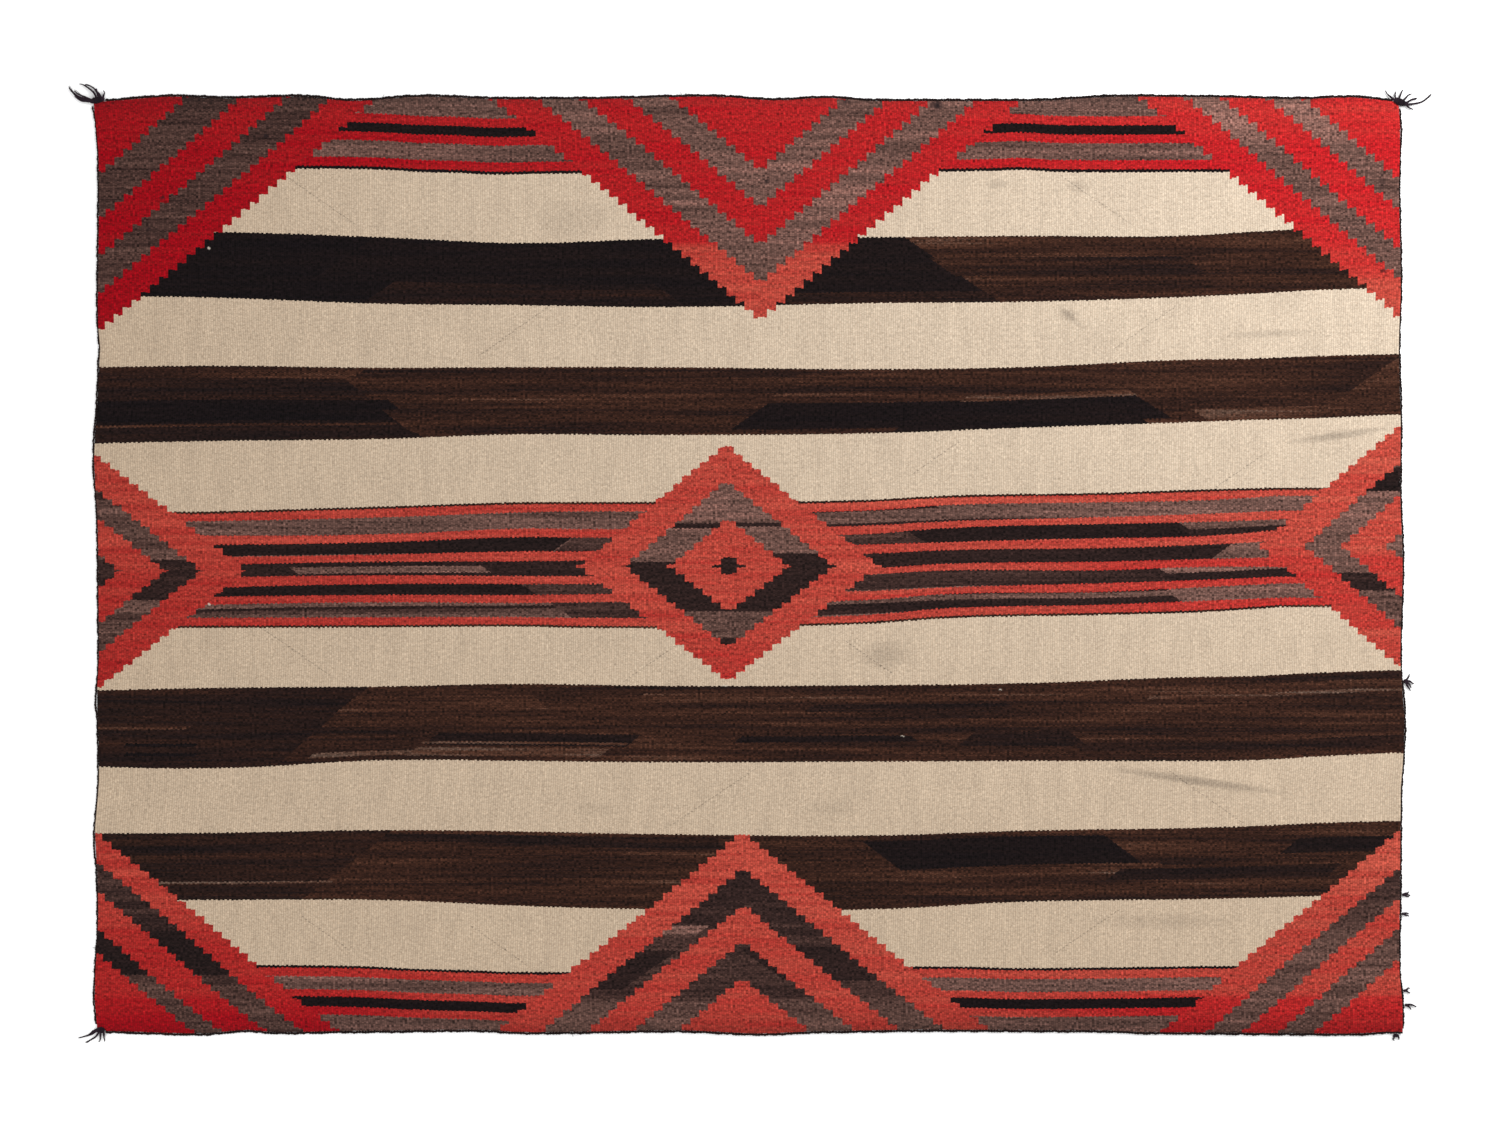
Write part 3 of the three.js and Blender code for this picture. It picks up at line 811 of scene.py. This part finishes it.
def yarn_material(name, dark, light, seed):
    """Dyed yarn for cords and loose ends, streaked along with darker and lighter fibres."""
    material, tree, shader = wool_shader(name)
    along, turn, _ = stored(tree, "yarn_place")
    fibre = noise(along, turn, FIBRES._replace(seed=seed))
    tone = noise(along, turn, FIBRE_TONES._replace(seed=seed + 1))
    shade = (fibre + tone).scaled(1.4, -0.9).cut()
    tree.links.new(mixed(shade, dark, light), shader.inputs["Base Color"])
    bump(tree, shader, fibre, 0.3 * MM)
    return material


# Meshes

def node_points(name):
    """A CAD node's points, in millimetres."""
    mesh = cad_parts[name].data
    points = np.zeros(len(mesh.vertices) * 3, np.float32)
    mesh.vertices.foreach_get("co", points)
    return points.reshape(-1, 3).astype(float) / MM


def cloth_edge(points, along, side):
    """One edge of the CAD cloth, as places along it and how far out it lies at each."""
    out = 1 - along
    limit = points[:, out].max() if side > 0 else points[:, out].min()
    near = abs(points[:, out] - limit) < EDGE_BAND
    ends = points[:, along].min() + CORNER_CLEAR, points[:, along].max() - CORNER_CLEAR
    near &= (points[:, along] > ends[0]) & (points[:, along] < ends[1])
    line = points[near]
    line = line[np.argsort(line[:, along])]
    return line[:, along], line[:, out] + side * EDGE_TUCK


def crease_height(x, y):
    """How far the creases lift the cloth at these points."""
    height = np.zeros_like(x)
    for crease in CREASES:
        turn = math.radians(crease.turn)
        dx, dy = x - crease.x, y - crease.y
        along = (dx * math.cos(turn) + dy * math.sin(turn)) / (crease.long / 2)
        across = (dy * math.cos(turn) - dx * math.sin(turn)) / (crease.wide / 2)
        reach = np.clip(np.hypot(along, across), 0, 1)
        height = np.maximum(height, crease.rise * np.cos(reach * math.pi / 2) ** 2)
    return height


def undulation(x, y):
    """The slight waviness of a handwoven sheet on a floor, never below it."""
    wave = np.sin(x / 97 + 1.3 * np.sin(y / 160)) * np.sin(y / 118 + 0.8 * np.sin(x / 210))
    return 0.45 * (1 + wave)


def row_places():
    """Shares of the way up the cloth at which its mesh has rows, close together at the creases."""
    spans = []
    for crease in CREASES:
        lean = abs(math.sin(math.radians(crease.turn))) * crease.long / 2
        reach = lean + abs(math.cos(math.radians(crease.turn))) * crease.wide / 2
        spans.append((crease.y - reach, crease.y + reach))
    places, y = [-HALF_WIDTH], -HALF_WIDTH
    while y < HALF_WIDTH:
        close = any(low - CREASE_ROW < y < high for low, high in spans)
        y += CREASE_ROW if close else PLAIN_ROW
        places.append(min(y, HALF_WIDTH))
    return (np.array(places) + HALF_WIDTH) / (2 * HALF_WIDTH)


def mesh_object(name, points, faces, material, smooth=True):
    """A mesh object from points in millimetres."""
    mesh = bpy.data.meshes.new(name)
    mesh.from_pydata((np.asarray(points) * MM).tolist(), [], faces)
    mesh.validate()
    if smooth:
        mesh.shade_smooth()
    mesh.materials.append(material)
    piece = bpy.data.objects.new(name, mesh)
    bpy.context.scene.collection.objects.link(piece)
    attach(piece, "root")
    return piece


def point_attribute(piece, name, values):
    layer = piece.data.attributes.new(name, "FLOAT_VECTOR", "POINT")
    layer.data.foreach_set("vector", np.asarray(values, np.float32).ravel())


def grid_faces(first, columns, rows, flip=False):
    """Faces of a grid of points that starts at index first, row by row."""
    faces = []
    wide = columns + 1
    for r in range(rows):
        for c in range(columns):
            a = first + r * wide + c
            face = (a, a + 1, a + wide + 1, a + wide)
            faces.append(face[::-1] if flip else face)
    return faces


def cloth_side(columns, v, edges, ribbed):
    """Points of one side of the cloth, and where each lies in the pattern."""
    left, right, low, high = edges
    u = np.linspace(0, 1, columns + 1)
    grid_u, grid_v = np.meshgrid(u, v)
    nominal_x = (grid_u - 0.5) * LENGTH
    nominal_y = (grid_v - 0.5) * 2 * HALF_WIDTH
    edge_left, edge_right = np.interp(nominal_y, *left), np.interp(nominal_y, *right)
    x = edge_left + grid_u * (edge_right - edge_left)
    edge_low, edge_high = np.interp(x, *low), np.interp(x, *high)
    y = edge_low + grid_v * (edge_high - edge_low)
    z = crease_height(x, y) + undulation(x, y)
    if ribbed:
        valley = np.arange(columns + 1) % 2 == 0
        z = z + CLOTH_THICK - RIB_DEPTH * valley[None, :]
    flat = np.stack([x, y, z], -1).reshape(-1, 3)
    place = np.stack([nominal_x, y, np.zeros_like(x)], -1).reshape(-1, 3)
    return flat, place


def rim_faces(first, rows, under_columns):
    """Faces that join the two sides of the cloth all the way round."""
    faces = []
    wide, under_wide = TOP_COLUMNS + 1, under_columns + 1
    for r, forward in ((0, True), (rows, False)):
        for c in range(under_columns):
            uppers = [r * wide + c * UNDER_STEP + k for k in range(UNDER_STEP + 1)]
            lowers = [first + r * under_wide + c, first + r * under_wide + c + 1]
            face = (*lowers, *uppers[::-1])
            faces.append(face if forward else face[::-1])
    for r in range(rows):
        a, b = r * wide, first + r * under_wide
        faces.append((a, a + wide, b + under_wide, b))
        a, b = a + TOP_COLUMNS, b + under_columns
        faces.append((b, b + under_wide, a + wide, a))
    return faces


def make_cloth(middle, material):
    """The woven sheet: ribbed on its face, plain underneath, with its creases."""
    points = node_points("rug_cloth") - (*middle, 0)
    edges = [cloth_edge(points, along, side) for along in (1, 0) for side in (-1, 1)]
    v = row_places()
    rows = len(v) - 1
    under_columns = TOP_COLUMNS // UNDER_STEP
    top, top_place = cloth_side(TOP_COLUMNS, v, edges, True)
    under, under_place = cloth_side(under_columns, v, edges, False)
    first = len(top)
    faces = grid_faces(0, TOP_COLUMNS, rows) + grid_faces(first, under_columns, rows, True)
    faces += rim_faces(first, rows, under_columns)
    every = np.concatenate([top, under]) + (*middle, 0)
    piece = mesh_object("woven_cloth", every, faces, material)
    point_attribute(piece, "weave_place", np.concatenate([top_place, under_place]))
    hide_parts("rug_cloth")
    return piece


def tube(line, radii, sides, start):
    """Points and faces of a closed tube round a line, and where each point lies along and round it."""
    line = np.asarray(line, float)
    ahead = np.gradient(line, axis=0)
    ahead /= np.linalg.norm(ahead, axis=1)[:, None]
    up = np.array([0.0, 0.0, 1.0])
    across = np.cross(ahead, up)
    across /= np.linalg.norm(across, axis=1)[:, None] + 1e-9
    over = np.cross(across, ahead)
    turn = np.linspace(0, 2 * math.pi, sides, endpoint=False)
    ring = across[:, None, :] * np.cos(turn)[None, :, None] + over[:, None, :] * np.sin(turn)[None, :, None]
    points = line[:, None, :] + ring * np.asarray(radii, float)[:, None, None]
    length = np.concatenate([[0], np.cumsum(np.linalg.norm(np.diff(line, axis=0), axis=1))])
    place = np.stack(np.broadcast_arrays(length[:, None], turn[None, :], 0.0), -1)
    count = len(line)
    faces = []
    for i in range(count - 1):
        for k in range(sides):
            a, b = start + i * sides + k, start + i * sides + (k + 1) % sides
            faces.append((a, b, b + sides, a + sides))
    faces.append(tuple(start + k for k in range(sides))[::-1])
    faces.append(tuple(start + (count - 1) * sides + k for k in range(sides)))
    return points.reshape(-1, 3), faces, place.reshape(-1, 3)


def joined(name, tubes, material):
    """Several tubes, each a line and its radii, as one object."""
    points, faces, places = [], [], []
    count = 0
    for line, radii, sides in tubes:
        p, f, a = tube(line, radii, sides, count)
        points.append(p)
        faces += f
        places.append(a)
        count += len(p)
    piece = mesh_object(name, np.concatenate(points), faces, material)
    point_attribute(piece, "yarn_place", np.concatenate(places))
    return piece


# Twisted cords along the edges
PLY_TURN = 9.0
PLY_STEPS = 9
PLY_SIDES = 6
SCALLOP = 0.8
STATION_GAP = 8


def cord_middle(name, along):
    """The middle line of a CAD cord, station by station."""
    points = node_points(name)
    points = points[np.argsort(points[:, along])]
    breaks = np.nonzero(np.diff(points[:, along]) > STATION_GAP)[0] + 1
    return np.array([group.mean(axis=0) for group in np.split(points, breaks)])


def twisted_cord(name, along, material):
    """Two plies laid round each other along a CAD cord, which they replace."""
    stations = cord_middle(name, along)
    low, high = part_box(name)
    size = min((high - low)[:]) / MM
    begin, end = stations[0, along], stations[-1, along]
    steps = int((end - begin) / PLY_TURN * PLY_STEPS)
    at = np.linspace(begin, end, steps + 1)
    centre = np.stack([np.interp(at, stations[:, along], stations[:, k]) for k in range(3)], -1)
    centre[:, along] = at
    out = math.copysign(1.0, centre[:, 1 - along].mean())
    tubes = []
    for ply in (0, math.pi):
        turn = at * 2 * math.pi / PLY_TURN + ply + 0.5 * np.sin(at / 31)
        line = centre.copy()
        line[:, 1 - along] += np.cos(turn) * size / 4
        line[:, 2] += np.sin(turn) * size / 4
        line[:, 1 - along] += 0.5 * np.sin(at / 2.3 + 2 * np.sin(at / 37)) * np.sin(at / 23)
        line[:, 1 - along] += out * SCALLOP * np.abs(np.sin(at / 14 + 1.5 * np.sin(at / 61)))
        swell = 1 + 0.16 * np.sin(at / 17 + ply) + 0.14 * np.sin(at / 5.3 + np.sin(at / 29))
        radii = swell * size / 4 * 1.08
        line[:, 2] = np.maximum(line[:, 2], radii)
        tubes.append((line, radii, PLY_SIDES))
    piece = joined(name.replace("cord", "cord_plies"), tubes, material)
    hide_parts(name)
    return piece


# Tied-off corners and frayed ends: the knot's size and direction in degrees, and its loose yarns. "start"
# is a yarn's root along the knot, "turn" the way it leaves, "long" its length from the rim and "bend"
# its curve.
Knot = namedtuple("Knot", "long wide high turn")
KNOTS = {
    "tassel_top_left": Knot(25, 11, 7, 12),
    "tassel_top_right": Knot(22, 12, 7, -22),
    "tassel_bottom_left": Knot(15, 10, 6, 0),
    "tassel_bottom_right": Knot(9, 6, 5, 0),
    "frayed_end_right_1": Knot(7, 7, 3.2, 0),
    "frayed_end_right_2": Knot(5, 5, 3.2, 0),
    "frayed_end_right_3": Knot(4, 4, 3.2, 0),
    "frayed_end_right_4": Knot(4, 4, 3.2, 0),
    "frayed_end_right_5": Knot(5, 5, 3.2, 0),
}
Yarn = namedtuple("Yarn", "start turn long bend")
LOOSE_YARNS = {
    "tassel_top_left": [
        (-9, 186, 22, -44), (-9, 177, 39, -66), (-8, 168, 34, -32), (-6, 157, 28, -6),
        (0, 108, 34, 66), (3, 96, 29, 78), (6, 104, 13, 30), (8, 60, 8, 44),
    ],
    "tassel_top_right": [
        (-8, 152, 15, -36), (-5, 118, 9, -40), (-1, 92, 14, -44), (4, 66, 15, -46),
        (7, 30, 16, -10), (8, -6, 39, 54), (8, -40, 10, 10),
    ],
    "tassel_bottom_left": [
        (-6, 196, 13, 44), (-4, 218, 28, -36), (-1, 246, 26, -56), (1, 266, 14, -14),
        (4, 280, 13, -8),
    ],
    "tassel_bottom_right": [(-3, 262, 5, 8), (3, 292, 4, -8)],
    "frayed_end_right_1": [
        (0, 48, 9, 30), (0, 8, 11, -60), (0, -34, 10, -28), (0, -72, 13, 20),
    ],
    "frayed_end_right_2": [(0, 32, 7, -14), (0, 4, 8, -12), (0, -24, 7, 0)],
    "frayed_end_right_3": [(0, 10, 7, -10), (0, -22, 8, -8)],
    "frayed_end_right_4": [(0, -12, 8, -30), (0, 26, 7, 12)],
    "frayed_end_right_5": [(0, 14, 14, -52), (0, -30, 8, -20)],
}
YARN_RADIUS = 1.8
YARN_STEPS = 14
HAIRS = 3
CROWN_BAND = 0.3
WINDING = 0.13
YARN_SEED = 11


def yarn_line(root, row, long, bottom, height):
    """A loose yarn's middle line: it leaves its knot at this height and comes down to the floor."""
    points = []
    x, y = root
    for i in range(YARN_STEPS + 1):
        share = i / YARN_STEPS
        heading = math.radians(row.turn + row.bend * share)
        fall = (1 - share) ** 1.6 + 0.22 * math.sin(share * math.pi)
        points.append((x, y, bottom + max(0.0, height - bottom) * fall))
        x += math.cos(heading) * long / YARN_STEPS
        y += math.sin(heading) * long / YARN_STEPS
    return np.array(points)


def knot_tubes(knot):
    """Yarn wound round a knot from end to end over a core that fills it."""
    turn = math.radians(knot.turn)
    thick = knot.wide * WINDING
    turns = max(3, round(knot.long / (1.7 * thick)))
    lines = []
    for winding in (1, 0):
        count = turns * 12 if winding else 10
        u = np.linspace(-0.97, 0.97, count + 1)
        round_it = u * turns * math.pi + np.sin(u * 9) * 0.5
        reach = np.sqrt(1 - u ** 2) * winding
        along = u * (knot.long / 2 - thick)
        across = reach * np.cos(round_it) * (knot.wide / 2 - thick)
        up = knot.high / 2 + reach * np.sin(round_it) * (knot.high / 2 - thick)
        x = along * math.cos(turn) - across * math.sin(turn)
        y = along * math.sin(turn) + across * math.cos(turn)
        core = np.sqrt(1 - u ** 2) * (knot.high / 2 - thick * 0.6) + 0.2
        lines.append((np.stack([x, y, up], -1), np.full(count + 1, thick) if winding else core, 8))
    return lines


def fine_tassel(name, material, chance):
    """A wound knot with loose yarns that part into hairs, in place of a CAD tassel."""
    knot = KNOTS[name]
    turn = math.radians(knot.turn)
    tubes = knot_tubes(knot)
    share = np.linspace(0, 1, YARN_STEPS + 1)
    for row in map(Yarn._make, LOOSE_YARNS[name]):
        root = (row.start * math.cos(turn), row.start * math.sin(turn))
        line = yarn_line(root, row, row.long + knot.wide / 2, YARN_RADIUS, knot.high * 0.55)
        sideways = (-math.sin(math.radians(row.turn)), math.cos(math.radians(row.turn)))
        curl = np.sin(share * 9 + chance.uniform(0, 6)) * share * chance.uniform(0.4, 1.2)
        line[:, :2] += curl[:, None] * sideways
        tubes.append((line, YARN_RADIUS * (1 - 0.62 * share ** 1.5), 7))
        for _ in range(HAIRS):
            first = chance.randint(2, 7)
            hair = line[first:].copy()
            part = share[: len(hair)] ** 1.4 * chance.uniform(-0.15, 0.15) * row.long
            part += np.sin(share[: len(hair)] * chance.uniform(5, 11)) * 0.5
            hair[:, :2] += part[:, None] * sideways
            hair[:, 2] += share[: len(hair)] * chance.uniform(0, 1.6)
            tubes.append((hair, np.linspace(YARN_RADIUS * 0.4, 0.22, len(hair)), 5))
    points = node_points(name)
    crown = points[points[:, 2] > points[:, 2].max() - CROWN_BAND].mean(axis=0)
    tubes = [(line + crown * (1, 1, 0), radii, sides) for line, radii, sides in tubes]
    piece = joined(name + "_yarns", tubes, material)
    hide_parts(name)
    return piece


# Single thread ends that stick out of the edge cords, from the rug's middle
Thread = namedtuple("Thread", "x y turn long bend")
THREADS = [
    Thread(-103, 720, 112, 7, 30), Thread(-98, 720, 70, 5, -30), Thread(-270, -718, 268, 6, 20),
    Thread(-1001, -586, 200, 6, -50), Thread(-1001, -606, 214, 7, 60), Thread(-1001, -622, 170, 6, 50),
    Thread(-560, 718, 64, 5, 40), Thread(300, 716, 100, 5, -50),
]


def loose_threads(middle, material):
    tubes = []
    for row in THREADS:
        line = yarn_line((row.x + middle[0], row.y + middle[1]), row, row.long, 0.5, 2.0)
        tubes.append((line, np.linspace(0.45, 0.15, len(line)), 6))
    piece = joined("loose_threads", tubes, material)
    return piece


def stage_and_light(middle):
    """Pale floor, soft light from the upper right and the camera over the rug."""
    corners = [(x, y, FLOOR_HEIGHT) for x, y in ((-1, -1), (1, -1), (1, 1), (-1, 1))]
    corners = [(x * FLOOR_REACH, y * FLOOR_REACH, z) for x, y, z in corners]
    floor = mesh_object("floor", corners, [(0, 1, 2, 3)], floor_material(), False)
    scene = bpy.context.scene
    scene.view_settings.view_transform = "Standard"
    world = bpy.data.worlds.new("studio")
    world.use_nodes = True
    world.node_tree.nodes["Background"].inputs["Color"].default_value = (1, 1, 1, 1)
    world.node_tree.nodes["Background"].inputs["Strength"].default_value = 0.9
    scene.world = world
    add_area_light("key", (2.6, 1.9, 2.4), 1.6, 150)
    add_area_light("fill", (-2.6, -2.2, 2.8), 2.4, 65)
    pixel = LENGTH * MM / RUG_WIDE_PX
    wide = PHOTO_WIDE * pixel
    centre_x = middle[0] * MM + (PHOTO_WIDE / 2 - RUG_MIDDLE_PX[0]) * pixel
    centre_y = middle[1] * MM - (PHOTO_HIGH / 2 - RUG_MIDDLE_PX[1]) * pixel
    data = bpy.data.cameras.new("camera")
    data.sensor_width = SENSOR
    data.lens = SENSOR * (CAMERA_HEIGHT - CLOTH_THICK * MM) / wide
    data.clip_end = 50
    camera = bpy.data.objects.new("camera", data)
    camera.location = (centre_x, centre_y, CAMERA_HEIGHT)
    scene.collection.objects.link(camera)
    scene.camera = camera


def add_area_light(name, place, size, power):
    data = bpy.data.lights.new(name, "AREA")
    data.size = size
    data.energy = power
    light = bpy.data.objects.new(name, data)
    light.location = place
    light.rotation_mode = "QUATERNION"
    light.rotation_quaternion = (-Vector(place)).to_track_quat("-Z", "Y")
    bpy.context.scene.collection.objects.link(light)


def floor_material():
    material = bpy.data.materials.new("pale_floor")
    material.use_nodes = True
    shader = material.node_tree.nodes["Principled BSDF"]
    shader.inputs["Base Color"].default_value = (0.92, 0.92, 0.92, 1)
    shader.inputs["Roughness"].default_value = 0.9
    shader.inputs["Specular IOR Level"].default_value = 0.1
    return material


def rug_middle():
    """The middle of the rug's outer lines, in millimetres in the frame."""
    left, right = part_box("side_cord_left")[0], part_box("side_cord_right")[1]
    low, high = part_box("end_cord_bottom")[0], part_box("end_cord_top")[1]
    return (left.x + right.x) / 2 / MM, (low.y + high.y) / 2 / MM


middle = rug_middle()
stage_and_light(middle)
woven = woven_material()
cord_wool = yarn_material("cord_wool", seen(13, 8, 9), seen(44, 30, 28), 41.0)
tassel_wool = yarn_material("tassel_wool", seen(14, 8, 12), seen(50, 36, 46), 51.0)
cloth = make_cloth(middle, woven)
cords = [twisted_cord(f"end_cord_{end}", 0, cord_wool) for end in ("top", "bottom")]
cords += [twisted_cord(f"side_cord_{side}", 1, cord_wool) for side in ("left", "right")]
chance = random.Random(YARN_SEED)
tassels = [fine_tassel(name, tassel_wool, chance) for name in KNOTS]
tassels.append(loose_threads(middle, tassel_wool))
